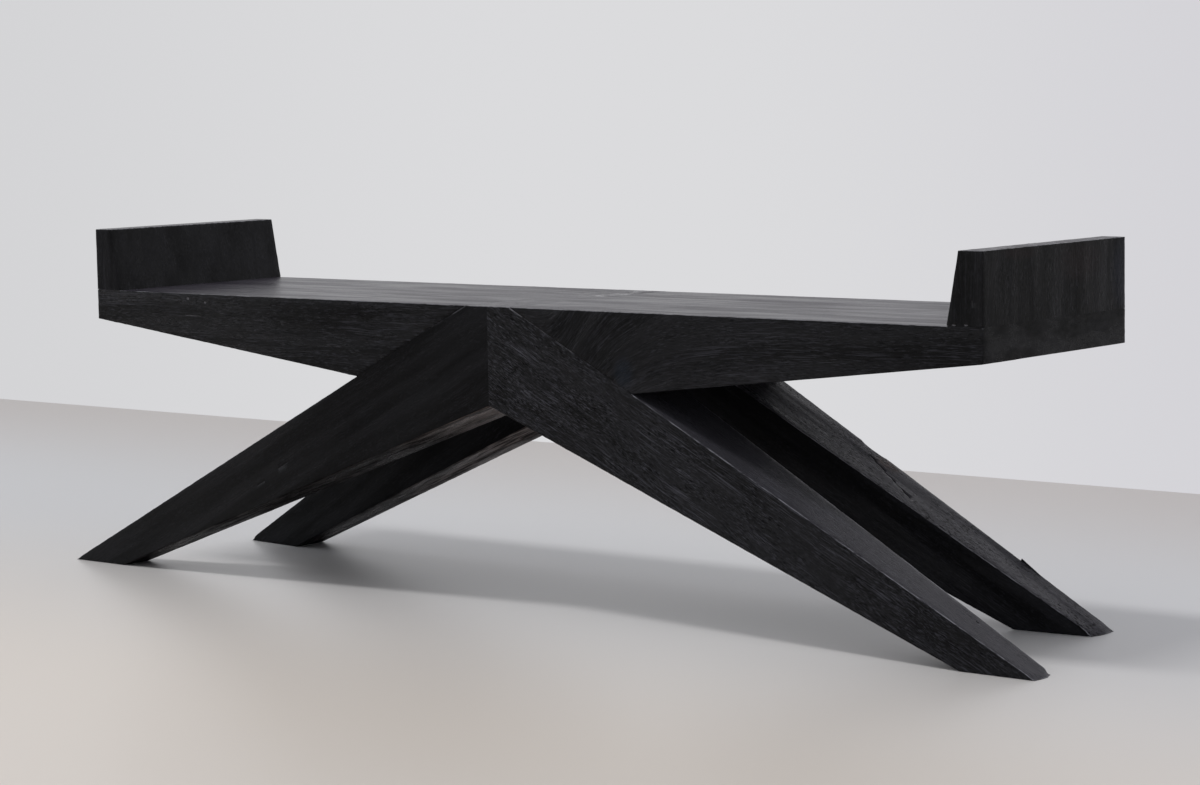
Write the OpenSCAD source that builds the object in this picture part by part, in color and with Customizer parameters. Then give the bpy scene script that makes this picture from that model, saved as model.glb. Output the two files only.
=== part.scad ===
// A low hardwood bench: a seat that deepens towards its middle, a tapered
// upstand on each end, and two pairs of legs that spread from the middle.
// X runs along the seat, Y from front to back, and Z up from the floor,
// with the origin on the floor under the middle of the seat.

/* [Seat] */
// Length of the seat
seat_l = 1650; // [1450:10:1900]
// Width of the seat, which is also the width of the bench
seat_w = 356; // [320:1:420]
// Height of the seat's top above the floor
seat_h = 440; // [400:1:480]
// Thickness of the seat at its ends
seat_end_t = 47; // [40:1:70]
// Thickness of the seat in the middle
seat_mid_t = 143; // [125:1:165]

/* [Upstands] */
// Height of an upstand above the seat
upstand_h = 96; // [75:1:140]
// Thickness of an upstand where it stands on the seat
upstand_foot_t = 55; // [48:1:75]
// Thickness of an upstand at its top
upstand_top_t = 37; // [28:1:46]

/* [Legs] */
// Thickness of every leg, front to back, at the middle of the bench
leg_mid_t = 138; // [120:1:145]
// Distance from the middle of the bench to the toes of the front pair
front_toe_x = 900; // [800:5:1000]
// Length of a front foot's sole, from heel to toe
front_sole_l = 114; // [90:1:140]
// Thickness of a front leg at its toe, front to back
front_toe_t = 47; // [35:1:80]
// Drop from the seat's top to the lower corner where the front legs meet
front_apex_drop = 143; // [125:1:165]
// Half the length of the front pair's flat crown in the seat's top
front_crown_x = 41; // [25:1:60]
// Distance from the middle of the bench to the toes of the back pair
back_toe_x = 810; // [700:5:1000]
// Length of a back foot's sole, from heel to toe
back_sole_l = 122; // [90:1:150]
// Thickness of a back leg at its toe, front to back
back_toe_t = 54; // [35:1:80]
// Drop from the seat's top to the lower corner where the back legs meet
back_apex_drop = 147; // [125:1:165]
// Half the length of the back pair's flat crown in the seat's top
back_crown_x = 44; // [25:1:60]

/* [Joinery] */
// Gap for glue between a leg and the housing that it is let into
housing_gap = 0.2; // [0.1:0.05:0.4]
// Diameter of the dowels under an upstand
upstand_dowel_d = 14; // [10:1:18]
// Number of dowels under an upstand
upstand_dowel_n = 4; // [2:1:6]
// Length of an upstand dowel inside the seat
upstand_dowel_down = 30; // [20:1:34]
// Length of an upstand dowel inside the upstand
upstand_dowel_up = 50; // [30:1:60]
// Diameter of the long dowels that tie both pairs of legs to the seat
tie_dowel_d = 20; // [14:1:24]
// Length of a tie dowel inside each leg
tie_dowel_grip = 50; // [35:1:70]
// Distance along the seat from one tie dowel to the next on the same side
tie_dowel_pitch = 80; // [60:1:95]
// Wood left between a tie dowel and the loose tenons beside it
tie_dowel_land = 14; // [8:1:25]
// Length of a loose tenon across the joint between two legs
tenon_l = 100; // [60:2:120]
// Height of a loose tenon
tenon_h = 80; // [50:1:90]
// Thickness of a loose tenon
tenon_t = 18; // [12:1:24]
// Number of loose tenons side by side in a pair of legs
tenon_n = 2; // [1:1:3]
// Gap round a dowel or tenon in its hole
fit_gap = 0.1; // [0.05:0.05:0.3]
// Space left past the end of a dowel or tenon in its hole
end_gap = 0.5; // [0.2:0.1:0.8]

/* [Hidden] */
$fn = 64;

// A cut runs this far past the face that it opens
past = 5;
half_l = seat_l / 2;
half_w = seat_w / 2;
seat_wood = "#2d2c2f";
upstand_wood = "#2f2e32";
leg_wood = "#272629";
dowel_wood = "#b89a6c";

// A pair of legs: toe, heel, lower corner and crown in the side view, and its toe's thickness
front_pair = [front_toe_x, front_toe_x - front_sole_l, seat_h - front_apex_drop, front_crown_x, front_toe_t];
back_pair = [back_toe_x, back_toe_x - back_sole_l, seat_h - back_apex_drop, back_crown_x, back_toe_t];
function toe_x(pair) = pair[0];
function heel_x(pair) = pair[1];
function apex_z(pair) = pair[2];
function crown_x(pair) = pair[3];
function toe_t(pair) = pair[4];

// Heights of the seat's underside and of a leg's two long faces at a distance x from the middle
function seat_under_z(x) = seat_h - seat_mid_t + (seat_mid_t - seat_end_t) * x / half_l;
function leg_top_z(pair, x) = seat_h * min(1, (toe_x(pair) - x) / (toe_x(pair) - crown_x(pair)));
function leg_under_z(pair, x) = apex_z(pair) * (1 - x / heel_x(pair));
// Thickness of a leg, front to back, at a distance x from the middle
function leg_t(pair, x) = leg_mid_t + (toe_t(pair) - leg_mid_t) * x / toe_x(pair);

// Tie dowels stand clear of the loose tenons, midway up the wood that legs and seat share
tie_xs = [for (i = [0, 1]) tenon_l / 2 + tie_dowel_land + tie_dowel_d / 2 + i * tie_dowel_pitch];
function shared_low_z(x) = max(seat_under_z(x), leg_under_z(front_pair, x), leg_under_z(back_pair, x));
function shared_high_z(x) = min(leg_top_z(front_pair, x), leg_top_z(back_pair, x));
function tie_z(x) = (shared_low_z(x) + shared_high_z(x)) / 2;

module left_and_right() {
    children();
    mirror([1, 0, 0]) children();
}

// Stands a side-view outline up and gives it the depth from y0 to y1
module side_view(y0, y1) {
    translate([0, y1, 0]) rotate([90, 0, 0]) linear_extrude(y1 - y0) children();
}

module seat_outline() {
    polygon([[-half_l, seat_h], [-half_l, seat_h - seat_end_t], [0, seat_h - seat_mid_t],
             [half_l, seat_h - seat_end_t], [half_l, seat_h]]);
}

module leg_outline(pair) {
    polygon([[0, apex_z(pair)], [heel_x(pair), 0], [toe_x(pair), 0],
             [crown_x(pair), seat_h], [0, seat_h]]);
}

// A right leg that has its outer face on the bench's front or back, thinning towards its toe
module front_leg_blank(pair) {
    intersection() {
        side_view(-half_w, half_w) leg_outline(pair);
        translate([0, -half_w, 0]) linear_extrude(seat_h)
            polygon([[0, 0], [toe_x(pair), 0], [toe_x(pair), toe_t(pair)], [0, leg_mid_t]]);
    }
}

// The space that a pair of legs takes out of the front of the seat, with its glue gap
module front_housing(pair) {
    crown = crown_x(pair) + housing_gap / sin(atan2(seat_h, toe_x(pair) - crown_x(pair)));
    toe = crown + toe_x(pair) - crown_x(pair);
    back_mid = leg_mid_t + housing_gap;
    back_toe = toe_t(pair) + housing_gap;
    intersection() {
        side_view(-half_w - past, half_w)
            polygon([[-toe, 0], [toe, 0], [crown, seat_h], [crown, seat_h + past],
                     [-crown, seat_h + past], [-crown, seat_h]]);
        translate([0, -half_w, 0]) linear_extrude(seat_h + past)
            polygon([[-toe, -past], [toe, -past], [toe, back_toe], [0, back_mid], [-toe, back_toe]]);
    }
}

// Loose tenons side by side across the joint of the front pair, with rounded upper and lower edges
module front_tenons(pair, gap, past_end) {
    round_r = tenon_t / 2 + gap;
    flat_h = tenon_h - tenon_t;
    for (i = [1:tenon_n])
        translate([0, -half_w + leg_mid_t * i / (tenon_n + 1), (apex_z(pair) + seat_h) / 2])
            rotate([90, 0, 90]) linear_extrude(tenon_l + 2 * past_end, center = true) {
                square([2 * round_r, flat_h], center = true);
                for (s = [-1, 1]) translate([0, s * flat_h / 2]) circle(r = round_r);
            }
}

// Dowels from the front pair through the seat to the back pair
module tie_dowel_set(gap, past_end) {
    for (x = tie_xs) {
        front_y = -half_w + leg_t(front_pair, x) - tie_dowel_grip - past_end;
        back_y = half_w - leg_t(back_pair, x) + tie_dowel_grip + past_end;
        left_and_right() translate([x, back_y, tie_z(x)]) rotate([90, 0, 0])
            cylinder(h = back_y - front_y, d = tie_dowel_d + 2 * gap);
    }
}

// Dowels up through the joint between the seat and its right upstand
module upstand_dowel_set(gap, past_end) {
    for (i = [1:upstand_dowel_n])
        translate([half_l - upstand_top_t / 2, -half_w + seat_w * (i - 0.5) / upstand_dowel_n,
                   seat_h - upstand_dowel_down - past_end])
            cylinder(h = upstand_dowel_down + upstand_dowel_up + 2 * past_end, d = upstand_dowel_d + 2 * gap);
}

module seat() {
    color(seat_wood) difference() {
        side_view(-half_w, half_w) seat_outline();
        front_housing(front_pair);
        mirror([0, 1, 0]) front_housing(back_pair);
        tie_dowel_set(fit_gap, end_gap);
        left_and_right() upstand_dowel_set(fit_gap, end_gap);
    }
}

module right_upstand() {
    color(upstand_wood) difference() {
        side_view(-half_w, half_w)
            polygon([[half_l, seat_h], [half_l, seat_h + upstand_h],
                     [half_l - upstand_top_t, seat_h + upstand_h], [half_l - upstand_foot_t, seat_h]]);
        upstand_dowel_set(fit_gap, end_gap);
    }
}

module left_upstand() { mirror([1, 0, 0]) right_upstand(); }

module front_right_leg() {
    color(leg_wood) difference() {
        front_leg_blank(front_pair);
        front_tenons(front_pair, fit_gap, end_gap);
        tie_dowel_set(fit_gap, end_gap);
    }
}

module front_left_leg() { mirror([1, 0, 0]) front_right_leg(); }

module back_right_leg() {
    color(leg_wood) difference() {
        mirror([0, 1, 0]) front_leg_blank(back_pair);
        mirror([0, 1, 0]) front_tenons(back_pair, fit_gap, end_gap);
        tie_dowel_set(fit_gap, end_gap);
    }
}

module back_left_leg() { mirror([1, 0, 0]) back_right_leg(); }

module right_upstand_dowels() { color(dowel_wood) upstand_dowel_set(0, 0); }

module left_upstand_dowels() { mirror([1, 0, 0]) right_upstand_dowels(); }

module front_mitre_tenons() { color(dowel_wood) front_tenons(front_pair, 0, 0); }

module back_mitre_tenons() { color(dowel_wood) mirror([0, 1, 0]) front_tenons(back_pair, 0, 0); }

module tie_dowels() { color(dowel_wood) tie_dowel_set(0, 0); }

seat();
left_upstand();
right_upstand();
front_left_leg();
front_right_leg();
back_left_leg();
back_right_leg();
left_upstand_dowels();
right_upstand_dowels();
front_mitre_tenons();
back_mitre_tenons();
tie_dowels();
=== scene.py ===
import math
import random
from types import SimpleNamespace
import bmesh
import bpy
from mathutils import Matrix, Vector


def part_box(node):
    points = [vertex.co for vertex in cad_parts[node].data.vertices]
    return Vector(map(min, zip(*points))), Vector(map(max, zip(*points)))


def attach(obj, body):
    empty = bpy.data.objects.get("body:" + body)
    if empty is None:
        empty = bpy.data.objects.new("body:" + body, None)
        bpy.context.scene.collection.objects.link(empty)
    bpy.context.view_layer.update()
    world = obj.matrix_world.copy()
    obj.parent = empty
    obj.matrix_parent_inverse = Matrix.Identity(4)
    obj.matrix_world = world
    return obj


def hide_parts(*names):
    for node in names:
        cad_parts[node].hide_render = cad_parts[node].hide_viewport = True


# A low bench of black stained, brushed, open-grained hardwood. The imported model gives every
# piece its place. The boards that show are shaped again here with worn arrises, chips and
# cracks, and the dowels and loose tenons inside the joints stay as they are.

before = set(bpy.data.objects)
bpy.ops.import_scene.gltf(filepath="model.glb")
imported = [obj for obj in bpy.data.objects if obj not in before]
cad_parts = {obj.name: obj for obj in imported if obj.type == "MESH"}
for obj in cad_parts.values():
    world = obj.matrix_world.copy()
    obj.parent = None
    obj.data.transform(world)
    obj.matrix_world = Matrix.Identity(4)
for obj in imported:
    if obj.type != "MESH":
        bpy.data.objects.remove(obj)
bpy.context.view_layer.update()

MM = 0.001

# Sizes in metres that the frame's boxes give
seat_low, seat_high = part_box("seat")
upstand_low, upstand_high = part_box("right_upstand")
SEAT_END_X = seat_high.x
SIDE_Y = seat_high.y
SEAT_TOP_Z = seat_high.z
SEAT_MID_Z = seat_low.z
UPSTAND_FOOT_T = upstand_high.x - upstand_low.x
UPSTAND_TOP_Z = upstand_high.z

# Sizes in metres that the boxes don't give
SEAT_END_T = 47 * MM
UPSTAND_TOP_T = 37 * MM
LEG_MID_T = 138 * MM
HOUSING_GAP = 0.2 * MM
DOWEL_GAP = 0.1 * MM
SEAT_RISE = SEAT_TOP_Z - SEAT_END_T - SEAT_MID_Z

# A pair of legs: the side of the bench that it is on, its toe, heel, crown and lower corner
# in the side view, and the thickness of its toe from front to back
FRONT = {
    "name": "front",
    "row": -1,
    "toe_x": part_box("front_right_leg")[1].x,
    "sole_l": 114 * MM,
    "crown_x": 41 * MM,
    "apex_z": SEAT_TOP_Z - 143 * MM,
    "toe_t": 47 * MM,
}
BACK = {
    "name": "back",
    "row": 1,
    "toe_x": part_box("back_right_leg")[1].x,
    "sole_l": 122 * MM,
    "crown_x": 44 * MM,
    "apex_z": SEAT_TOP_Z - 147 * MM,
    "toe_t": 54 * MM,
}

# Finish of the edges and the size of the mesh's cells. The rounding of an arris ends over
# STOP_LENGTH where a joint starts.
WORN_BAND = 6 * MM
ARRIS = 1.3 * MM
STOP_LENGTH = 3 * MM
CELL_LONG = 7 * MM
CELL_WIDE = 9 * MM

# An edge is sharp over the first angle, and shaded smooth under the second
SHARP_ANGLE = math.radians(30)
SMOOTH_ANGLE = math.radians(35)

# Coordinates closer than SAME_PLACE are the same, and a point is past a line by a HAIR or more
SAME_PLACE = 0.05 * MM
HAIR = 0.01 * MM


# Modelling by hand

def to_object_mode():
    """Ends any editing and leaves nothing selected."""
    if bpy.context.mode != "OBJECT":
        bpy.ops.object.mode_set(mode="OBJECT")
    bpy.ops.object.select_all(action="DESELECT")


def pick_up(piece):
    """Makes a piece the only one selected."""
    to_object_mode()
    piece.select_set(True)
    bpy.context.view_layer.objects.active = piece


def to_edit_mode(piece):
    """Makes a piece the only one selected, and opens it for editing."""
    pick_up(piece)
    bpy.ops.object.mode_set(mode="EDIT")


def keep_place(piece):
    """Puts a piece's place, turn and scale into its mesh."""
    pick_up(piece)
    bpy.ops.object.transform_apply(location=True, rotation=True, scale=True)


def block(name, low, high):
    """A block between two corners, with its place in its mesh."""
    low = Vector(low)
    high = Vector(high)
    to_object_mode()
    bpy.ops.mesh.primitive_cube_add(size=1, location=(low + high) / 2, scale=high - low)
    piece = bpy.context.active_object
    piece.name = name
    piece.data.name = name
    keep_place(piece)
    return piece


def select(piece, kind, wanted):
    """In edit mode, selects the VERT, EDGE or FACE elements that wanted() is true for."""
    bpy.ops.mesh.select_mode(type=kind)
    bpy.ops.mesh.select_all(action="DESELECT")
    mesh = bmesh.from_edit_mesh(piece.data)
    for element in {"VERT": mesh.verts, "EDGE": mesh.edges, "FACE": mesh.faces}[kind]:
        element.select_set(wanted(element))
    mesh.select_flush_mode()
    bmesh.update_edit_mesh(piece.data)


def near(one, other):
    """Whether two coordinates are the same."""
    return abs(one - other) < SAME_PLACE


def shift(piece, wanted, by):
    """Moves the vertices whose place wanted() is true for."""
    select(piece, "VERT", lambda vertex: wanted(vertex.co))
    bpy.ops.transform.translate(value=by)


def corners_at(x=None, y=None, z=None):
    """A test for vertices at these coordinates."""
    def wanted(place):
        return all(want is None or near(have, want) for have, want in zip(place, (x, y, z)))
    return wanted


def apply_modifier(piece, kind, **settings):
    """Adds a modifier with its settings and applies it."""
    pick_up(piece)
    modifier = piece.modifiers.new("step", kind)
    for name, value in settings.items():
        setattr(modifier, name, value)
    bpy.ops.object.modifier_apply(modifier=modifier.name)


def join(pieces):
    """Makes several pieces one object."""
    pick_up(pieces[0])
    for piece in pieces[1:]:
        piece.select_set(True)
    bpy.ops.object.join()
    return pieces[0]


def cut(piece, cutter, operation="DIFFERENCE"):
    """Cuts a piece with another, or joins that one to it, and deletes the other. The cut faces
    take the other's finish."""
    apply_modifier(piece, "BOOLEAN", object=cutter, operation=operation, solver="MANIFOLD",
                   material_mode="TRANSFER")
    bpy.data.objects.remove(cutter)


def bore(piece, nodes):
    """Cuts the holes for these dowels and tenons, with a little room round them."""
    plugs = []
    for node in nodes:
        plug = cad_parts[node].copy()
        plug.data = plug.data.copy()
        plug.data.materials.clear()
        bpy.context.collection.objects.link(plug)
        to_edit_mode(plug)
        bpy.ops.mesh.select_all(action="SELECT")
        bpy.ops.mesh.remove_doubles(threshold=0.001 * MM)
        bpy.ops.transform.shrink_fatten(value=DOWEL_GAP)
        to_object_mode()
        plugs.append(plug)
    cut(piece, join(plugs))


def round_arrises(piece, is_joint, stops):
    """Rounds every arris, with a worn band beside it. Those in a joint stay sharp, and the
    rounding ends where the planes of stops, each a place and a normal, cut through the piece."""
    def is_sharp(edge):
        return edge.calc_face_angle(0) > SHARP_ANGLE

    to_edit_mode(piece)
    select(piece, "EDGE", is_sharp)
    bpy.ops.mesh.bevel(offset=WORN_BAND, segments=2, profile=1, affect="EDGES")
    for place, normal in stops:
        bpy.ops.mesh.select_all(action="SELECT")
        bpy.ops.mesh.bisect(plane_co=place, plane_no=normal)
    select(piece, "EDGE", lambda edge: is_sharp(edge) and not is_joint(edge))
    bpy.ops.mesh.bevel(offset=ARRIS, segments=3, profile=0.5, affect="EDGES")
    bpy.ops.object.vertex_group_assign_new()
    piece.vertex_groups[-1].name = "arris"


def divide(piece, direction, spacing):
    """Divides the edges that run in about this direction, which share a ring of faces."""
    direction = Vector(direction).normalized()
    longest_kept = 1.6 * spacing
    least_parallel = 0.8
    most_cuts = 100

    def runs_along(edge):
        span = edge.verts[1].co - edge.verts[0].co
        return span.length > longest_kept and abs(span.normalized().dot(direction)) > least_parallel

    mesh = bmesh.from_edit_mesh(piece.data)
    longest = max((round(edge.calc_length(), 2) for edge in mesh.edges if runs_along(edge)), default=0)
    select(piece, "EDGE", runs_along)
    bpy.ops.mesh.subdivide(number_cuts=max(1, min(most_cuts, round(longest / spacing) - 1)))


def slice_up(piece, direction, spacing):
    """Divides all faces by parallel planes, square to this direction."""
    direction = Vector(direction).normalized()
    mesh = bmesh.from_edit_mesh(piece.data)
    reaches = [vertex.co.dot(direction) for vertex in mesh.verts]
    low, high = min(reaches), max(reaches)
    for step in range(1, round((high - low) / spacing)):
        bpy.ops.mesh.select_all(action="SELECT")
        bpy.ops.mesh.bisect(plane_co=direction * (low + step * spacing), plane_no=direction)


def sink(piece, name, wanted, texture, **settings):
    """Lets the faces at the wanted vertices, or else at the group of this name, sink in by a
    texture."""
    if wanted:
        to_edit_mode(piece)
        select(piece, "VERT", wanted)
        bpy.ops.object.vertex_group_assign_new()
        piece.vertex_groups[-1].name = name
    apply_modifier(piece, "DISPLACE", texture=texture, mid_level=1, vertex_group=name,
                   texture_coords="GLOBAL", **settings)


def weather(piece, is_joint):
    """Leaves the faces slightly uneven and the arrises ragged, inwards only and not in a joint.
    The faces where boards meet flush sink alike, straight in, so they stay flush."""
    uneven = bpy.data.textures.new("uneven", "CLOUDS")
    uneven.noise_scale = 70 * MM
    ragged = bpy.data.textures.new("ragged", "CLOUDS")
    ragged.noise_scale = 9 * MM
    ragged.noise_depth = 3
    uneven_depth = 0.4 * MM
    ragged_depth = 0.9 * MM
    planes = (("Y", 1, -SIDE_Y), ("Y", 1, SIDE_Y), ("X", 0, -SEAT_END_X), ("X", 0, SEAT_END_X),
              ("Z", 2, SEAT_TOP_Z))

    def is_flush(vertex):
        return any(near(vertex.co[axis], place) for _, axis, place in planes)

    sink(piece, "arris", None, ragged, strength=ragged_depth, direction="NORMAL")
    sink(piece, "open", lambda vertex: not is_flush(vertex) and not is_joint(vertex),
         uneven, strength=uneven_depth, direction="NORMAL")
    for direction, axis, place in planes:
        sink(piece, f"flush_{direction}_{place:.2f}",
             lambda vertex: near(vertex.co[axis], place) and not is_under_upstand(vertex.co),
             uneven, strength=math.copysign(uneven_depth, place), direction=direction)


def note_wear_and_highlight(piece):
    """Keeps the worn bands as an attribute that the finish reads, strongest where they face up, as a
    painted highlight where light from above catches the arrises.
    """
    group = piece.vertex_groups["arris"].index
    weights = []
    for vertex in piece.data.vertices:
        weight = next((member.weight for member in vertex.groups if member.group == group), 0.0)
        weights.append(weight * min(1.0, max(0.0, vertex.normal.z + 0.4)))
    wear_and_highlight = piece.data.attributes.new("wear_and_highlight", "FLOAT", "POINT")
    wear_and_highlight.data.foreach_set("value", weights)


def finish_piece(piece, node):
    """Shades a piece and lets it stand for its CAD node."""
    note_wear_and_highlight(piece)
    pick_up(piece)
    bpy.ops.object.shade_smooth_by_angle(angle=SMOOTH_ANGLE)
    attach(piece, "root")
    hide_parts(node)


# Boards and legs

def heel_x(pair):
    """Distance from the middle to the heel of a pair's legs."""
    return pair["toe_x"] - pair["sole_l"]


def leg_t(pair, x):
    """Thickness of a leg, front to back, at a distance x from the middle."""
    return LEG_MID_T + (pair["toe_t"] - LEG_MID_T) * x / pair["toe_x"]


def leg_top_x(pair, z):
    """Distance from the middle to a leg's top edge at the height z."""
    return pair["crown_x"] + (pair["toe_x"] - pair["crown_x"]) * (1 - z / SEAT_TOP_Z)


def leg_node(pair, side):
    """The name of a leg's CAD node."""
    return f"{pair['name']}_{'right' if side > 0 else 'left'}_leg"


def is_in_seat(place):
    """Whether a place is above the line of the seat's underside."""
    return place.z > SEAT_MID_Z + SEAT_RISE * abs(place.x) / SEAT_END_X + HAIR


def make_leg(pair, side, material):
    """A long wedge, sharp at its toe, that thins in the side view and in plan."""
    outer = pair["row"] * SIDE_Y
    inner = pair["row"] * (SIDE_Y - LEG_MID_T)
    crown = side * pair["crown_x"]
    toe = side * pair["toe_x"]
    heel = side * heel_x(pair)

    def is_joint_edge(edge):
        places = [vertex.co for vertex in edge.verts]
        if all(near(place.x, 0) for place in places):
            return True
        if all(near(place.z, SEAT_TOP_Z) and near(place.y, outer) for place in places):
            return False
        return any(is_in_seat(place) for place in places)

    leg = block(f"{leg_node(pair, side)}_wood", (min(0, crown), min(inner, outer), pair["apex_z"]),
                (max(0, crown), max(inner, outer), SEAT_TOP_Z))
    leg.data.materials.append(material)
    to_edit_mode(leg)
    select(leg, "FACE", lambda face: near(face.calc_center_median().x, crown))
    bpy.ops.mesh.extrude_region_move(TRANSFORM_OT_translate={"value": (toe - crown, 0, 0)})
    shift(leg, corners_at(x=toe, z=SEAT_TOP_Z), (0, 0, -SEAT_TOP_Z))
    shift(leg, corners_at(x=toe, z=pair["apex_z"]), (heel - toe, 0, -pair["apex_z"]))
    shift(leg, corners_at(x=crown, z=pair["apex_z"]),
          (0, 0, -pair["apex_z"] * pair["crown_x"] / heel_x(pair)))
    for x in (crown, heel, toe):
        thinner = leg_t(pair, abs(x)) - LEG_MID_T
        shift(leg, corners_at(x=x, y=inner), (0, -pair["row"] * thinner, 0))
    rising = (-side * SEAT_RISE, 0, SEAT_END_X)
    round_arrises(leg, is_joint_edge, [
        ((0, 0, SEAT_MID_Z), rising),
        ((0, 0, SEAT_MID_Z + STOP_LENGTH), rising),
    ])
    slice_up(leg, (crown - toe, 0, SEAT_TOP_Z), CELL_LONG)
    slice_up(leg, (-SEAT_TOP_Z, 0, crown - toe), CELL_WIDE)
    slice_up(leg, (0, pair["row"], 0), CELL_WIDE)
    wear_toe(leg, pair, side)
    weather(leg, lambda vertex: near(vertex.co.x, 0) or is_in_seat(vertex.co))
    # Nothing of the sole may stand below the floor
    to_edit_mode(leg)
    select(leg, "VERT", lambda vertex: vertex.co.z < 0)
    bpy.ops.transform.resize(value=(1, 1, 0), center_override=(0, 0, 0))
    bore(leg, [f"{pair['name']}_mitre_tenons", "tie_dowels"])
    return leg


def wear_toe(leg, pair, side):
    """Wears the two corners of a toe round, as seen from above."""
    outer = pair["row"] * SIDE_Y
    inner = outer - pair["row"] * pair["toe_t"]
    corner_reach = 4 * MM
    blend_reach = 18 * MM
    for y, worn in ((outer, 2 * MM), (inner, 6 * MM)):
        corner = Vector((side * pair["toe_x"], y, 0))
        select(leg, "VERT", lambda vertex: (vertex.co - corner).length < corner_reach)
        bpy.ops.transform.translate(value=(-side * worn, 0, 0), use_proportional_edit=True,
                                    proportional_edit_falloff="SMOOTH", proportional_size=blend_reach)


def upstand_node(side):
    """The name of an upstand's CAD node."""
    return "right_upstand" if side > 0 else "left_upstand"


def is_under_upstand(place):
    """Whether a place is in the joint between the seat and an upstand."""
    return near(place.z, SEAT_TOP_Z) and abs(place.x) > SEAT_END_X - UPSTAND_FOOT_T + HAIR


def make_upstand(side, material):
    """A block across the seat's end, whose inner face leans outwards."""
    outer = side * SEAT_END_X
    foot = side * (SEAT_END_X - UPSTAND_FOOT_T)
    upstand = block(f"{upstand_node(side)}_wood", (min(outer, foot), -SIDE_Y, SEAT_TOP_Z),
                    (max(outer, foot), SIDE_Y, UPSTAND_TOP_Z))
    upstand.data.materials.append(material)
    to_edit_mode(upstand)
    shift(upstand, corners_at(x=foot, z=UPSTAND_TOP_Z),
          (side * (UPSTAND_FOOT_T - UPSTAND_TOP_T), 0, 0))
    round_arrises(upstand, lambda edge: all(near(end.co.z, SEAT_TOP_Z) for end in edge.verts), [])
    divide(upstand, (0, 1, 0), CELL_LONG)
    divide(upstand, (0, 0, 1), CELL_WIDE)
    divide(upstand, (1, 0, 0), CELL_WIDE)
    weather(upstand, lambda vertex: is_under_upstand(vertex.co))
    bore(upstand, [upstand_node(side) + "_dowels"])
    return upstand


def housing_cutter(pair):
    """The space that a pair of legs takes out of the side of the seat, with its glue gap."""
    past = 5 * MM
    low_z = SEAT_MID_Z - past
    high_z = SEAT_TOP_Z + past
    low_x = leg_top_x(pair, low_z) + HOUSING_GAP
    high_x = leg_top_x(pair, high_z) + HOUSING_GAP
    outer = pair["row"] * (SIDE_Y + past)
    inner = pair["row"] * (SIDE_Y - LEG_MID_T - HOUSING_GAP)
    cutter = block("housing", (-low_x, min(inner, outer), low_z), (low_x, max(inner, outer), high_z))
    to_edit_mode(cutter)
    bpy.ops.mesh.select_all(action="SELECT")
    bpy.ops.mesh.bisect(plane_co=(0, 0, 0), plane_no=(1, 0, 0))
    for side in (-1, 1):
        shift(cutter, corners_at(x=side * low_x, z=high_z), (side * (high_x - low_x), 0, 0))
        for x in (low_x, high_x):
            thinner = leg_t(pair, x) - LEG_MID_T
            shift(cutter, corners_at(x=side * x, y=inner), (0, -pair["row"] * thinner, 0))
    to_object_mode()
    return cutter


def make_seat(material):
    """The seat board, deeper in its middle, with a housing in each side for a pair of legs."""
    foot_x = SEAT_END_X - UPSTAND_FOOT_T

    def is_joint_edge(edge):
        on_top = all(near(end.co.z, SEAT_TOP_Z) for end in edge.verts)
        return on_top and any(is_under_upstand(end.co) for end in edge.verts)

    seat = block("seat_wood", (-SEAT_END_X, -SIDE_Y, SEAT_MID_Z), (SEAT_END_X, SIDE_Y, SEAT_TOP_Z))
    seat.data.materials.append(material)
    to_edit_mode(seat)
    bpy.ops.mesh.select_all(action="SELECT")
    bpy.ops.mesh.bisect(plane_co=(0, 0, 0), plane_no=(1, 0, 0))
    for side in (-1, 1):
        shift(seat, corners_at(x=side * SEAT_END_X, z=SEAT_MID_Z), (0, 0, SEAT_RISE))
    round_arrises(seat, is_joint_edge, [
        ((side * (foot_x + past), 0, 0), (1, 0, 0)) for side in (-1, 1) for past in (0, STOP_LENGTH)
    ])
    divide(seat, (1, 0, 0), 2 * CELL_LONG)
    divide(seat, (1, 0, 0), CELL_LONG)
    divide(seat, (0, 1, 0), CELL_WIDE)
    divide(seat, (0, 0, 1), CELL_WIDE)
    weather(seat, lambda vertex: is_under_upstand(vertex.co))
    cut(seat, housing_cutter(FRONT))
    cut(seat, housing_cutter(BACK))
    bore(seat, ["left_upstand_dowels", "right_upstand_dowels", "tie_dowels"])
    return seat


# Marks of use

def scar(place, radii, slope, material):
    """A flat pebble that cuts one nick, with its length along the grain."""
    to_object_mode()
    bpy.ops.mesh.primitive_ico_sphere_add(subdivisions=2, radius=1, location=place, scale=radii,
                                          rotation=(0, slope, 0))
    pebble = bpy.context.active_object
    keep_place(pebble)
    to_edit_mode(pebble)
    bpy.ops.mesh.select_all(action="SELECT")
    bpy.ops.transform.vertex_random(offset=0.25 * min(radii), seed=round(abs(place[0]) / MM))
    to_object_mode()
    pebble.data.materials.append(material)
    return pebble


def nick(piece, scars, slope, material):
    """Cuts nicks into a piece: each has its place and its half sizes in millimetres."""
    pebbles = []
    for place, radii in scars:
        pebbles.append(scar(Vector(place) * MM, [radius * MM for radius in radii], slope, material))
    cut(piece, join(pebbles))


def along_arris(start, end, count, seed):
    """Small nicks at seeded places along an arris, from one end to the other in millimetres."""
    dice = random.Random(seed)
    scars = []
    for _ in range(count):
        share = dice.random()
        place = [low + (high - low) * share for low, high in zip(start, end)]
        scars.append((place, (dice.uniform(2, 7), dice.uniform(0.9, 1.8), dice.uniform(0.9, 1.6))))
    return scars


def lay_between(piece, start, end):
    """Lays a piece that was made along X, from the origin, so that it runs from start to end."""
    to_object_mode()
    turn = (end - start).to_track_quat("X", "Z").to_matrix().to_4x4()
    piece.matrix_world = Matrix.Translation(start) @ turn
    keep_place(piece)


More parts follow.
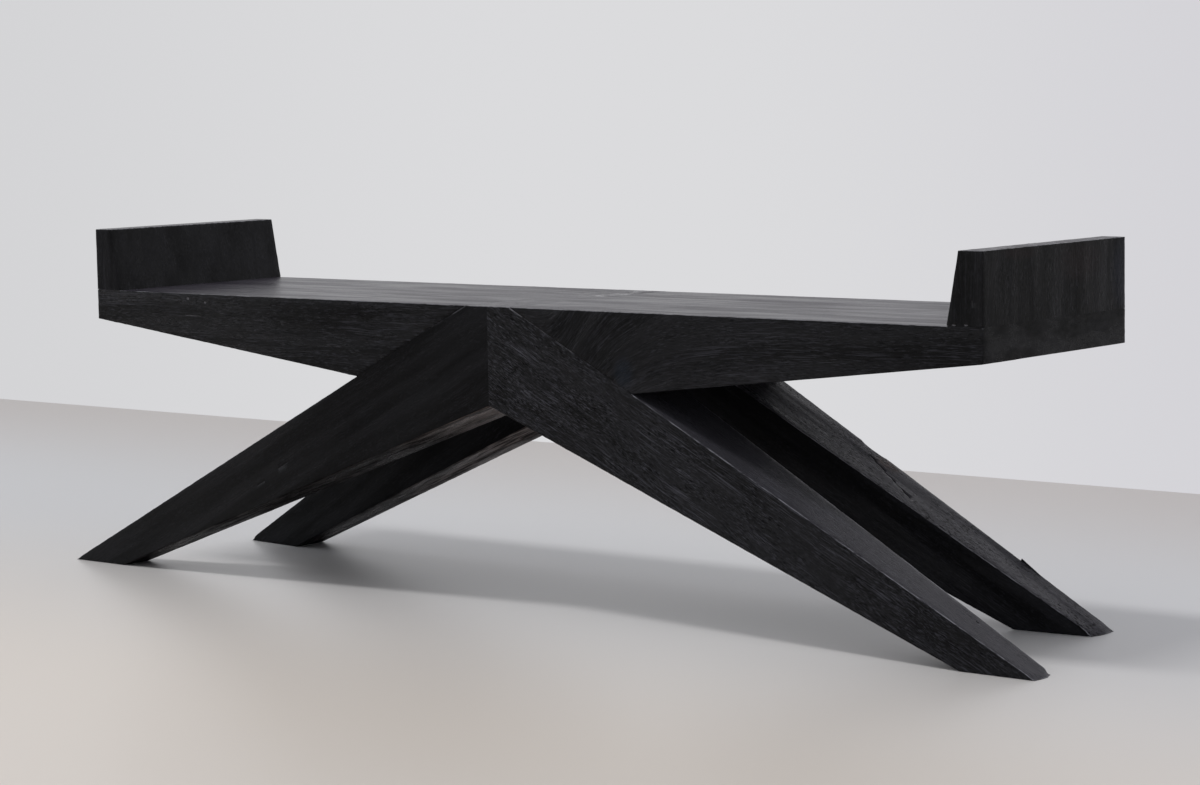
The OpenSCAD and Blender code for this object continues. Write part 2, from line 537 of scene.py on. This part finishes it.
def split_top(leg, start, end, material):
    """Opens a thin wavering crack along the top face of a leg, between two places in millimetres."""
    start = Vector(start) * MM
    end = Vector(end) * MM
    length = (end - start).length
    half_width = 0.5 * MM
    waver = 1.1 * MM
    parts = 12
    blade = block("blade", (0, -half_width, -5 * MM), (length, half_width, 4 * MM))
    blade.data.materials.append(material)
    to_edit_mode(blade)
    divide(blade, (1, 0, 0), 6 * MM)
    for end_x in (0, length):
        select(blade, "VERT", lambda vertex: near(vertex.co.x, end_x))
        bpy.ops.transform.resize(value=(1, 0.1, 1))
    for step in range(1, parts):
        middle = length * step / parts
        select(blade, "VERT", lambda vertex: abs(vertex.co.x - middle) < length / (2 * parts))
        bpy.ops.transform.translate(value=(0, waver * math.sin(2.3 * step), 0))
    lay_between(blade, start, end)
    cut(leg, blade)


def lift_splinter(leg, start, end):
    """Raises a thin sliver from an arris, between two places in millimetres."""
    start = Vector(start) * MM
    end = Vector(end) * MM
    raised = 3 * MM
    sliver = block("sliver", (0, -1.2 * MM, -2 * MM), ((end - start).length, 0.6 * MM, 0))
    to_edit_mode(sliver)
    shift(sliver, corners_at(x=0, z=0), (0, 0, raised))
    select(sliver, "VERT", lambda vertex: near(vertex.co.x, 0))
    bpy.ops.transform.resize(value=(1, 0.5, 1))
    lay_between(sliver, start, end)
    cut(leg, sliver, "UNION")


# Materials

# Settings that many nodes share. Map Range nodes with SMOOTH ease in and out.
SMOOTH = {"interpolation_type": "SMOOTHSTEP"}
COLOURS = {"data_type": "RGBA"}
PLUS = {"operation": "ADD"}
MINUS = {"operation": "SUBTRACT"}
TIMES = {"operation": "MULTIPLY"}


def linear(hex_colour):
    """An sRGB hex colour as the linear values that a shader takes."""
    parts = [int(hex_colour[start:start + 2], 16) / 255 for start in (1, 3, 5)]
    parts = [part / 12.92 if part <= 0.04045 else ((part + 0.055) / 1.055) ** 2.4 for part in parts]
    return (*parts, 1.0)


def add(tree, kind, *values, inputs=None, **settings):
    """Adds a node with its settings. The values fill the sockets that it shows, in their order,
    and inputs fills sockets by name. Each is a plain value, a hex colour, a socket to link, or
    a node, which stands for the first output that it shows."""
    made = tree.nodes.new(kind)
    for name, value in settings.items():
        setattr(made, name, value)
    shown = [socket for socket in made.inputs if socket.enabled]
    filled = list(zip(shown, values))
    filled += [(made.inputs[name], value) for name, value in (inputs or {}).items()]
    for socket, value in filled:
        if isinstance(value, bpy.types.Node):
            value = next(output for output in value.outputs if output.enabled)
        if isinstance(value, bpy.types.NodeSocket):
            tree.links.new(value, socket)
        else:
            socket.default_value = linear(value) if isinstance(value, str) else value
    return made


def new_material(name):
    """An empty material and its node tree."""
    material = bpy.data.materials.new(name)
    material.use_nodes = True
    material.node_tree.nodes.clear()
    return material, material.node_tree


def grain(tree, fibre, turn, length, width, start, stretch=None, share=(0.0, 1.0), detail=2.0,
          roughness=0.5):
    """Noise drawn out along the grain: turn is the grain's slope, length and width are the size
    of its marks in millimetres, and start is where the noise is read. On the top the marks are
    wider, as finer ones can't be seen there. Stretch is the part of the noise that makes the
    marks, which is spread over the share."""
    wider_on_top = 2.2
    size = (length * MM, wider_on_top * width * MM, width * MM)
    mapped = add(tree, "ShaderNodeMapping", fibre, (start, 0, 0), (0, turn, 0), size,
                 vector_type="TEXTURE")
    noise = add(tree, "ShaderNodeTexNoise", inputs={
        "Vector": mapped, "Scale": 1.0, "Detail": detail, "Roughness": roughness,
    })
    if stretch is None:
        return noise
    return add(tree, "ShaderNodeMapRange", noise, *stretch, *share, **SMOOTH)


def tinted(tree, colour, share, most, tint):
    """Lays a tint over a colour, as strongly as a share says and at most by a part of one."""
    share = add(tree, "ShaderNodeMath", share, most, **TIMES)
    return add(tree, "ShaderNodeMix", share, colour, tint, **COLOURS)


def swirled(tree, place, axes):
    """Bends the grain of the seat's front side down into a knot's swirl beside the right leg."""
    knot_x = 190 * MM
    reach = 90 * MM
    drop = 100 * MM
    most_sag = 1.8
    easing = 1.2
    from_knot = add(tree, "ShaderNodeMath", axes["X"], knot_x, **MINUS)
    fall = add(tree, "ShaderNodeMath", from_knot, -reach, operation="DIVIDE")
    sag = add(tree, "ShaderNodeMath", fall, operation="EXPONENT")
    sag = add(tree, "ShaderNodeMath", sag, most_sag, easing, operation="SMOOTH_MIN")
    # Only on the right of the middle, and only in the wood just behind the front side
    on_right = add(tree, "ShaderNodeMapRange", axes["X"], 0.0, 0.06, **SMOOTH)
    sag = add(tree, "ShaderNodeMath", sag, on_right, **TIMES)
    in_front = add(tree, "ShaderNodeMapRange", axes["Y"], -0.150, -0.176, **SMOOTH)
    sag = add(tree, "ShaderNodeMath", sag, in_front, **TIMES)
    sag = add(tree, "ShaderNodeMath", sag, drop, **TIMES)
    lowered = add(tree, "ShaderNodeCombineXYZ", inputs={"Z": sag})
    return add(tree, "ShaderNodeVectorMath", place, lowered, **PLUS)


def surface(tree, turn, place_shift, swirl):
    """What the finish reads at each point of a board: where it is, where its fibre is, which
    wavers a little and has its own place in the noise, and how far it looks up, down, or
    straight up as a flat top does."""
    here = SimpleNamespace(turn=turn)
    here.place = add(tree, "ShaderNodeTexCoord").outputs["Object"]
    here.axes = add(tree, "ShaderNodeSeparateXYZ", here.place).outputs
    bent = swirled(tree, here.place, here.axes) if swirl else here.place
    shifted = add(tree, "ShaderNodeVectorMath", bent, place_shift, **PLUS)
    noise = add(tree, "ShaderNodeTexNoise", inputs={"Vector": shifted, "Scale": 9.0, "Detail": 1.0})
    centred = add(tree, "ShaderNodeVectorMath", noise.outputs["Color"], (0.5, 0.5, 0.5), **MINUS)
    here.waver = add(tree, "ShaderNodeVectorMath", centred, 8 * MM, operation="SCALE")
    here.fibre = add(tree, "ShaderNodeVectorMath", shifted, here.waver, **PLUS)

    normal = add(tree, "ShaderNodeNewGeometry").outputs["Normal"]
    here.normal = add(tree, "ShaderNodeSeparateXYZ", normal).outputs
    here.up = add(tree, "ShaderNodeMapRange", here.normal["Z"], 0.3, 0.8, **SMOOTH)
    here.down = add(tree, "ShaderNodeMapRange", here.normal["Z"], -0.4, -0.8, **SMOOTH)
    here.flat = add(tree, "ShaderNodeMapRange", here.normal["Z"], 0.92, 0.97, **SMOOTH)
    return here


def add_marks(tree, here, side, top, streaks, mark, middle):
    """The marks in the grain: broad figure and bands, short pores and ridges, fine lines, and
    long brushed streaks in patches."""
    fibre, turn = here.fibre, here.turn
    flat_top = 0.3
    density = grain(tree, fibre, turn, 70, 26, 8, (0.35, 0.6), (0.45, 1.0))
    strength = add(tree, "ShaderNodeMapRange", here.up, 0.0, 1.0, side, top)
    strength = add(tree, "ShaderNodeMapRange", here.flat, 0.0, 1.0, strength, flat_top)
    strength = add(tree, "ShaderNodeMath", strength, density, **TIMES)
    from_middle = add(tree, "ShaderNodeMath", here.axes["X"], operation="ABSOLUTE")
    near_middle = add(tree, "ShaderNodeMapRange", from_middle, 0.2, 0.45, middle, 1.0, **SMOOTH)
    strength = add(tree, "ShaderNodeMath", strength, near_middle, **TIMES)
    if turn == 0:
        # End grain, which only the seat shows, is calmer
        end_on = add(tree, "ShaderNodeMath", here.normal["X"], operation="ABSOLUTE")
        calm = add(tree, "ShaderNodeMapRange", end_on, 0.5, 0.9, 1.0, 0.25, **SMOOTH)
        strength = add(tree, "ShaderNodeMath", strength, calm, **TIMES)

    length, width = mark
    here.figure = grain(tree, fibre, turn, 320, 22, 0, (0.35, 0.65))
    here.bands = grain(tree, fibre, turn, 180, 6, 9, (0.35, 0.65), detail=3.0, roughness=0.6)
    pores = grain(tree, fibre, turn, length, width, 1, (0.5, 0.62), roughness=0.6)
    here.pores = add(tree, "ShaderNodeMath", pores, strength, **TIMES)
    ridges = grain(tree, fibre, turn, 1.3 * length, 1.1 * width, 2, (0.52, 0.66), detail=3.0,
                   roughness=0.6)
    here.ridges = add(tree, "ShaderNodeMath", ridges, strength, **TIMES)
    here.fine = grain(tree, fibre, turn, 40, 0.9, 3, detail=3.0, roughness=0.6)
    thin = grain(tree, fibre, turn, 60, 1.1, 4, (0.54, 0.64))
    patches = grain(tree, fibre, turn, 200, 38, 5, (0.46, 0.6))
    in_patches = add(tree, "ShaderNodeMath", thin, patches, **TIMES)
    most = add(tree, "ShaderNodeMath", near_middle, streaks, **TIMES)
    here.brushed = add(tree, "ShaderNodeMath", in_patches, most, **TIMES)


def spotted(tree, here, colour, spots):
    """Tints soft spots with wavering rims: each has its place and half sizes in millimetres, and
    its colour."""
    for middle, radii, tint in spots:
        place = add(tree, "ShaderNodeVectorMath", here.place, here.waver, **PLUS)
        reach = add(tree, "ShaderNodeMapping", inputs={
            "Vector": place, "Location": Vector(middle) * MM, "Scale": Vector(radii) * MM,
        }, vector_type="TEXTURE")
        distance = add(tree, "ShaderNodeVectorMath", reach, operation="LENGTH")
        inside = add(tree, "ShaderNodeMapRange", distance, 1.0, 0.3, **SMOOTH)
        colour = add(tree, "ShaderNodeMix", inside, colour, tint, **COLOURS)
    return colour


def stained_colour(tree, here, tone, pale, bare, spots):
    """Near-black stain, painted violet for the light from above where it looks up and for the tint of
    its reflection on flat tops, with grey painted on ridges, and on sloping tops where pale is set,
    for their sheen, grey streaks, black pores, brown where the stain did not take on an underside
    but near black towards the floor as painted shade, and grey on worn arrises, painted strongest
    where they face up as a highlight."""
    painted_light_tint = "#2b2730"
    colour = add(tree, "ShaderNodeMix", here.figure, "#111112", "#1a1a1c", **COLOURS)
    # Faces that look up are painted a little violet for the light from above
    colour = tinted(tree, colour, here.up, 0.15, painted_light_tint)
    # Grey painted on the sloping tops for the sheen of their brushed fibres
    if pale:
        colour = tinted(tree, colour, here.up, pale, "#55545a")
    # Flat tops are painted violet for the tint of their reflection
    colour = tinted(tree, colour, here.flat, 0.9, painted_light_tint)
    # Undersides are brown where the stain did not take, and kept near black towards the floor as painted
    # shade
    if bare:
        brown = add(tree, "ShaderNodeMix", here.bands, "#2e2928", "#6d625e", **COLOURS)
        bare_and_painted_shade = add(tree, "ShaderNodeMapRange", here.axes["Z"], *bare, 0.12, 1.0, **SMOOTH)
        bare_and_painted_shade = add(tree, "ShaderNodeMath", here.down, bare_and_painted_shade, **TIMES)
        colour = add(tree, "ShaderNodeMix", bare_and_painted_shade, colour, brown, **COLOURS)
    colour = spotted(tree, here, colour, spots)
    # Ridges are painted grey for the sheen that they catch
    colour = tinted(tree, colour, here.ridges, 0.8, "#35353c")
    colour = tinted(tree, colour, here.pores, 0.95, "#020203")
    colour = add(tree, "ShaderNodeMix", here.brushed, colour, "#46464d", **COLOURS)
    # Worn arrises are grey, painted strongest where they face up as a highlight
    wear_and_highlight = add(tree, "ShaderNodeAttribute", attribute_name="wear_and_highlight").outputs["Fac"]
    worn = add(tree, "ShaderNodeMapRange", wear_and_highlight, 0.55, 1.0, **SMOOTH)
    broken = grain(tree, here.fibre, here.turn, 30, 4, 7, (0.4, 0.6), detail=3.0, roughness=0.6)
    rubbed_and_highlit = add(tree, "ShaderNodeMath", worn, broken, **TIMES)
    colour = tinted(tree, colour, rubbed_and_highlit, 0.7, "#77777d")
    shade = add(tree, "ShaderNodeMapRange", here.flat, 0.0, 1.0, tone, 1.0)
    return add(tree, "ShaderNodeMix", 1.0, colour, shade, blend_type="MULTIPLY", **COLOURS)


def waxed_gloss(tree, here, sheen, front, banding):
    """The wax's roughness and IOR: in thicker and thinner bands, thicker on the left and most on
    flat tops, with hardly any on undersides and in open pores."""
    uneven = add(tree, "ShaderNodeMath", here.figure, here.bands, **PLUS)
    uneven = add(tree, "ShaderNodeMapRange", uneven, 0.0, 2.0)
    satin = 0.3
    swing = 0.15 * banding
    roughness = add(tree, "ShaderNodeMapRange", uneven, 0.1, 0.9, satin + swing, satin - swing)
    duller = add(tree, "ShaderNodeMath", here.flat, 0.06, **TIMES)
    roughness = add(tree, "ShaderNodeMath", roughness, duller, **PLUS)

    on_right, on_slope = sheen
    on_left = on_right + 0.045
    top_left, top_right = 1.6, 1.42
    underside, open_pore = 1.02, 1.1
    on_side = add(tree, "ShaderNodeMapRange", here.axes["X"], -0.55, -0.25, on_left, on_right, **SMOOTH)
    on_front = add(tree, "ShaderNodeMapRange", here.normal["Y"], -0.5, -0.9, 0.0, front, **SMOOTH)
    on_side = add(tree, "ShaderNodeMath", on_side, on_front, **PLUS)
    on_top = add(tree, "ShaderNodeMapRange", here.axes["X"], -0.45, -0.05, top_left, top_right, **SMOOTH)
    index = add(tree, "ShaderNodeMapRange", here.up, 0.0, 1.0, on_side, on_slope)
    index = add(tree, "ShaderNodeMapRange", here.flat, 0.0, 1.0, index, on_top)
    index = add(tree, "ShaderNodeMapRange", here.down, 0.0, 1.0, index, underside)
    swing = 0.06 * banding
    more = add(tree, "ShaderNodeMapRange", uneven, 0.0, 1.0, -swing, swing)
    on_ridges = add(tree, "ShaderNodeMath", here.ridges, 0.06, **TIMES)
    more = add(tree, "ShaderNodeMath", more, on_ridges, **PLUS)
    index = add(tree, "ShaderNodeMath", index, more, **PLUS)
    index = add(tree, "ShaderNodeMapRange", here.pores, 0.0, 1.0, index, open_pore)
    return roughness, index


def brushed_relief(tree, here):
    """Raised ridges, sunk pores and fine lines, as wire brushing leaves them."""
    relief = add(tree, "ShaderNodeMath", here.ridges, here.pores, **MINUS)
    fine = add(tree, "ShaderNodeMath", here.fine, 0.7, **TIMES)
    relief = add(tree, "ShaderNodeMath", fine, relief, **PLUS)
    return add(tree, "ShaderNodeBump", inputs={
        "Strength": 0.6, "Distance": 0.5 * MM, "Height": relief,
    })


def blackened_hardwood(name, turn, place_shift, side=0.3, top=0.5, streaks=0.15, tone=1.0,
                       mark=(6, 1.7), sheen=(1.21, 1.24), front=0.0, banding=0.3, middle=1.0,
                       pale=0.0, bare=None, spots=(), swirl=False):
    """Open-grained hardwood, stained black after wire brushing, and waxed: a near-black ground
    broken by short dull pores and grey ridges, with a low satin sheen in bands.

    Turn is the slope of the grain, and place_shift the board's own place in the noise. The marks
    are as strong as side and top say on those faces, and middle times as strong near the middle
    of the bench. Mark is their length and width in millimetres, and streaks how strong the long
    pale ones are. Tone scales the colour except on flat tops, and pale is how much grey is
    painted on the sloping tops for their sheen. Sheen is the wax's IOR on the sides and on sloping
    tops, front is what the front side has more or less of it, and banding how unlike its bands
    are. Bare is the height in metres up to which the undersides stay near black, as painted shade
    towards the floor, and the height from which they are brown, where the stain did not take.
    Spots are places with a tint of their own, and swirl bends the grain down beside a knot."""
    material, tree = new_material(name)
    here = surface(tree, turn, place_shift, swirl)
    add_marks(tree, here, side, top, streaks, mark, middle)
    roughness, index = waxed_gloss(tree, here, sheen, front, banding)
    shader = add(tree, "ShaderNodeBsdfPrincipled", inputs={
        "Base Color": stained_colour(tree, here, tone, pale, bare, spots),
        "Roughness": roughness,
        "IOR": index,
        "Normal": brushed_relief(tree, here),
    })
    add(tree, "ShaderNodeOutputMaterial", shader)
    return material


def broken_wood(name, hex_colour):
    """Wood where the stained skin is broken: matt and fibrous, pale in a fresh nick, dull in a
    scratch, and near black in cracks and gouges, painted for the shade in them."""
    material, tree = new_material(name)
    slope = math.radians(27)
    place = add(tree, "ShaderNodeTexCoord").outputs["Object"]
    fibres = grain(tree, place, slope, 6, 1.2, 0, (0.4, 0.6))
    colour = tinted(tree, hex_colour, fibres, 0.5, "#1c1b1c")
    shader = add(tree, "ShaderNodeBsdfPrincipled", inputs={
        "Base Color": colour, "Roughness": 0.8, "IOR": 1.3,
    })
    add(tree, "ShaderNodeOutputMaterial", shader)
    return material


def planed_beech():
    """Beech, planed and left bare: pale, with short darker flecks along the grain."""
    material, tree = new_material("planed_beech")
    place = add(tree, "ShaderNodeTexCoord").outputs["Object"]
    rays = grain(tree, place, 0, 4, 0.8, 0, (0.5, 0.65))
    colour = add(tree, "ShaderNodeMix", rays, "#c9a877", "#a9834f", **COLOURS)
    shader = add(tree, "ShaderNodeBsdfPrincipled", inputs={"Base Color": colour, "Roughness": 0.6})
    add(tree, "ShaderNodeOutputMaterial", shader)
    return material


# Stage, light and camera, whose viewpoint was fitted to the bench's edges in the photograph

WALL_Y = 1.447
CAMERA_PLACE = (2.8584, -3.4098, 0.7535)
CAMERA_HEADING = math.radians(39.385)
CAMERA_DIP = math.radians(5.821)
CAMERA_ROLL = math.radians(-1.037)
SENSOR_WIDTH = 36
LENS_LENGTH = 91.39


def stage_plane(name, size, place, turn, material):
    """A flat part of the stage."""
    to_object_mode()
    bpy.ops.mesh.primitive_plane_add(size=1, location=place, rotation=turn)
    plane = bpy.context.active_object
    plane.name = name
    plane.scale = (size[0], size[1], 1)
    keep_place(plane)
    plane.data.materials.append(material)


def floor_paint():
    """A pale satin floor, a little warmer towards the front, with shade painted beside the wall, and
    painted darker towards the lamp on the left, against its stronger light, so that it looks even."""
    material, tree = new_material("pale_floor")
    place = add(tree, "ShaderNodeTexCoord").outputs["Object"]
    axes = add(tree, "ShaderNodeSeparateXYZ", place).outputs
    to_front = add(tree, "ShaderNodeMapRange", axes["Y"], 0.3, -0.9, **SMOOTH)
    colour = add(tree, "ShaderNodeMix", to_front, "#bbbbbd", "#c6beb6", **COLOURS)
    # Shade painted on the floor beside the wall
    painted_wall_shade = add(tree, "ShaderNodeMapRange", axes["Y"], 0.4, WALL_Y, **SMOOTH)
    colour = add(tree, "ShaderNodeMix", painted_wall_shade, colour, "#b2aca9", **COLOURS)
    # Painted darker towards the lamp on the left, against its stronger light there
    shade_against_lamp = add(tree, "ShaderNodeMapRange", axes["X"], 0.0, -1.6, **SMOOTH)
    colour = add(tree, "ShaderNodeMix", shade_against_lamp, colour, "#f1f1f1", blend_type="MULTIPLY", **COLOURS)
    shader = add(tree, "ShaderNodeBsdfPrincipled", inputs={"Base Color": colour, "Roughness": 0.33})
    add(tree, "ShaderNodeOutputMaterial", shader)
    return material


def wall_paint():
    """A pale wall which glows with painted light to the camera and in reflections, lighter on the
    left and painted darker on the right, is matt to other light, and is open from behind.
    """
    material, tree = new_material("pale_wall")
    path = add(tree, "ShaderNodeLightPath").outputs
    seen = add(tree, "ShaderNodeMath", path["Is Camera Ray"], path["Is Glossy Ray"],
               operation="MAXIMUM")
    place = add(tree, "ShaderNodeTexCoord").outputs["Object"]
    axes = add(tree, "ShaderNodeSeparateXYZ", place).outputs
    # The wall's glow is painted lighter on the left and darker on the right
    tint = "#d4d4d6"
    for start, end, hex_colour in ((-3.2, -1.2, "#dbdbdd"), (-0.9, 0.7, "#d3d2d7"), (0.7, 2.4, "#b7b6b4")):
        share = add(tree, "ShaderNodeMapRange", axes["X"], start, end, **SMOOTH)
        tint = add(tree, "ShaderNodeMix", share, tint, hex_colour, **COLOURS)
    matt = add(tree, "ShaderNodeBsdfDiffuse", inputs={"Color": "#d9d9da"})
    glow = add(tree, "ShaderNodeEmission", inputs={"Color": tint, "Strength": 1.0})
    face = add(tree, "ShaderNodeMixShader", seen, matt, glow)
    behind = add(tree, "ShaderNodeNewGeometry").outputs["Backfacing"]
    clear = add(tree, "ShaderNodeBsdfTransparent")
    both = add(tree, "ShaderNodeMixShader", behind, face, clear)
    add(tree, "ShaderNodeOutputMaterial", both)
    return material


def make_stage():
    """A floor with a wall behind the bench."""
    stage_plane("floor", (30, 30), (0, 0, 0), (0, 0, 0), floor_paint())
    stage_plane("wall", (30, 8), (0, WALL_Y, 4), (math.radians(90), 0, 0), wall_paint())


def make_lamp(name, place, turn, size_x, size_y, energy):
    """A flat soft lamp, which faces down before its turn."""
    to_object_mode()
    bpy.ops.object.light_add(type="AREA", location=place, rotation=turn)
    lamp = bpy.context.active_object
    lamp.name = name
    lamp.data.shape = "RECTANGLE"
    lamp.data.size = size_x
    lamp.data.size_y = size_y
    lamp.data.energy = energy


def make_light():
    """A large lamp high up, to the left and in front, a weak soft one on the left and an even
    pale surround."""
    world = bpy.data.worlds.new("surround")
    bpy.context.scene.world = world
    world.use_nodes = True
    surround = world.node_tree.nodes["Background"].inputs
    surround["Color"].default_value = linear("#eef0f4")
    surround["Strength"].default_value = 0.79
    make_lamp("high_lamp", (-2.6, -3.5, 10), (0, 0, 0), 4.0, 1.6, 600)
    make_lamp("side_lamp", (-3.0, -0.4, 2.6), (0, math.radians(-52), math.radians(-8)), 2.2, 2.2, 10)


def make_camera():
    """The photograph's viewpoint: from the front right, a little above the seat."""
    to_object_mode()
    bpy.ops.object.camera_add()
    camera = bpy.context.active_object
    camera.data.sensor_width = SENSOR_WIDTH
    camera.data.lens = LENS_LENGTH
    heading = Matrix.Rotation(CAMERA_HEADING, 4, "Z")
    tilt = Matrix.Rotation(math.radians(90) - CAMERA_DIP, 4, "X")
    roll = Matrix.Rotation(CAMERA_ROLL, 4, "Z")
    camera.matrix_world = Matrix.Translation(CAMERA_PLACE) @ heading @ tilt @ roll
    bpy.context.scene.camera = camera


# The bench

make_camera()
make_stage()
make_light()
bpy.context.scene.view_settings.view_transform = "Standard"

fresh = broken_wood("fresh_nick", "#545357")
dull = broken_wood("dull_scratch", "#333336")
# Cracks and gouges are painted near black for the shade in them
painted_crack_shade = broken_wood("painted_shade_in_crack", "#060505")

# Finish and marks of each piece. Slopes are those of its grain, and places are in millimetres.
FRONT_SLOPE = math.atan2(SEAT_TOP_Z, FRONT["toe_x"] - FRONT["crown_x"])
BACK_SLOPE = math.atan2(SEAT_TOP_Z, BACK["toe_x"] - BACK["crown_x"])
UPRIGHT = math.radians(90)

wood = blackened_hardwood("stained_front_right_leg", FRONT_SLOPE, (1, -1, 0.3), side=0.9, top=0.4,
                          streaks=0.45, tone=1.25, mark=(8, 0.9), sheen=(1.17, 1.18), banding=0.2,
                          middle=1.5, pale=0.22, bare=(0.21, 0.285))
leg = make_leg(FRONT, 1, wood)
nick(leg, [
    ((632, -178, 137), (5, 1.6, 1.4)),
    ((664, -178, 121), (4, 1.5, 1.3)),
    ((78, -178, 421), (11, 1.0, 0.9)),
    ((104, -178, 407.7), (9, 0.9, 0.9)),
    ((135, -178, 391.8), (12, 1.0, 0.9)),
    ((152, -178, 383), (5, 0.8, 0.8)),
    *along_arris((300, -178, 307.3), (880, -178, 10.2), 7, 3),
], FRONT_SLOPE, fresh)
nick(leg, [((788, -135, 57.5), (3, 1.6, 1.2))], FRONT_SLOPE, painted_crack_shade)
finish_piece(leg, "front_right_leg")

wood = blackened_hardwood("stained_front_left_leg", -FRONT_SLOPE, (-1, -1, 0.3), side=0.2, top=0.4,
                          streaks=0.1, tone=0.8, sheen=(1.135, 1.24), bare=(0.21, 0.285))
leg = make_leg(FRONT, -1, wood)
nick(leg, [
    ((-466, -178, 154), (10, 0.6, 0.7)),
    ((-419, -178, 184), (16, 0.6, 0.6)),
], -FRONT_SLOPE, dull)
finish_piece(leg, "front_left_leg")

wood = blackened_hardwood("stained_back_right_leg", BACK_SLOPE, (1, 1, 0.3), side=0.2, top=1.0,
                          tone=1.3, mark=(6, 1.7), sheen=(1.09, 1.15), banding=1.0, pale=0.3,
                          bare=(0.02, 0.25), spots=[((448, 165, 205), (34, 22, 24), "#33231e")])
leg = make_leg(BACK, 1, wood)
nick(leg, [((418, 178, 225), (26, 7, 3.2))], BACK_SLOPE, painted_crack_shade)
nick(leg, along_arris((430, 178, 218.3), (790, 178, 11.5), 6, 5), BACK_SLOPE, fresh)
split_top(leg, (429, 151, 218.9), (522, 117, 165.5), painted_crack_shade)
lift_splinter(leg, (662, 176.5, 85), (694, 175, 66.6))
finish_piece(leg, "back_right_leg")

wood = blackened_hardwood("stained_back_left_leg", -BACK_SLOPE, (-1, 1, 0.3), side=0.2,
                          sheen=(1.07, 1.24), bare=(0.02, 0.25))
leg = make_leg(BACK, -1, wood)
nick(leg, along_arris((-250, 178, 320.7), (-790, 178, 11.5), 6, 7), -BACK_SLOPE, fresh)
finish_piece(leg, "back_left_leg")

wood = blackened_hardwood("stained_left_upstand", UPRIGHT, (-1, 5, 0), side=0.2,
                          sheen=(1.175, 1.24), front=-0.11)
upstand = make_upstand(-1, wood)
nick(upstand, along_arris((-825, -170, 536), (-825, 170, 536), 4, 9), 0, fresh)
finish_piece(upstand, "left_upstand")

wood = blackened_hardwood("stained_right_upstand", UPRIGHT, (1, 5, 0), tone=0.9,
                          sheen=(1.165, 1.24), banding=0.5, spots=[
                              ((825, 60, 510), (30, 70, 36), "#1f1a1b"),
                              ((825, -90, 530), (30, 60, 12), "#1f1a1b"),
                              ((825, 178, 490), (30, 48, 70), "#20222a"),
                          ])
upstand = make_upstand(1, wood)
nick(upstand, [((809, -178, 469), (0.7, 0.6, 6))], 0, dull)
nick(upstand, [((782, -178, 441.5), (3, 0.8, 1.2)), ((800, -178, 442), (3, 0.8, 1.2))], 0, fresh)
finish_piece(upstand, "right_upstand")

wood = blackened_hardwood("stained_seat", 0, (0, 0, 0), side=0.55, top=0.3, streaks=0.3,
                          mark=(10, 1.4), sheen=(1.16, 1.24), banding=0.5, swirl=True,
                          spots=[((246, -178, 356), (24, 20, 30), "#181c22")])
seat = make_seat(wood)
nick(seat, [
    ((-616, -178, 432), (3, 0.8, 2)),
    ((-578, -178, 427), (2.5, 0.7, 2)),
    ((-607, -178, 405.5), (17, 0.5, 0.7)),
    *along_arris((-750, -178, 440), (-60, -178, 440), 14, 11),
    *along_arris((200, -178, 440), (760, -178, 440), 6, 12),
    *along_arris((-760, 178, 440), (760, 178, 440), 12, 13),
], 0, fresh)
finish_piece(seat, "seat")

beech = planed_beech()
for node in ("left_upstand_dowels", "right_upstand_dowels", "front_mitre_tenons",
             "back_mitre_tenons", "tie_dowels"):
    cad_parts[node].data.materials.clear()
    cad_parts[node].data.materials.append(beech)
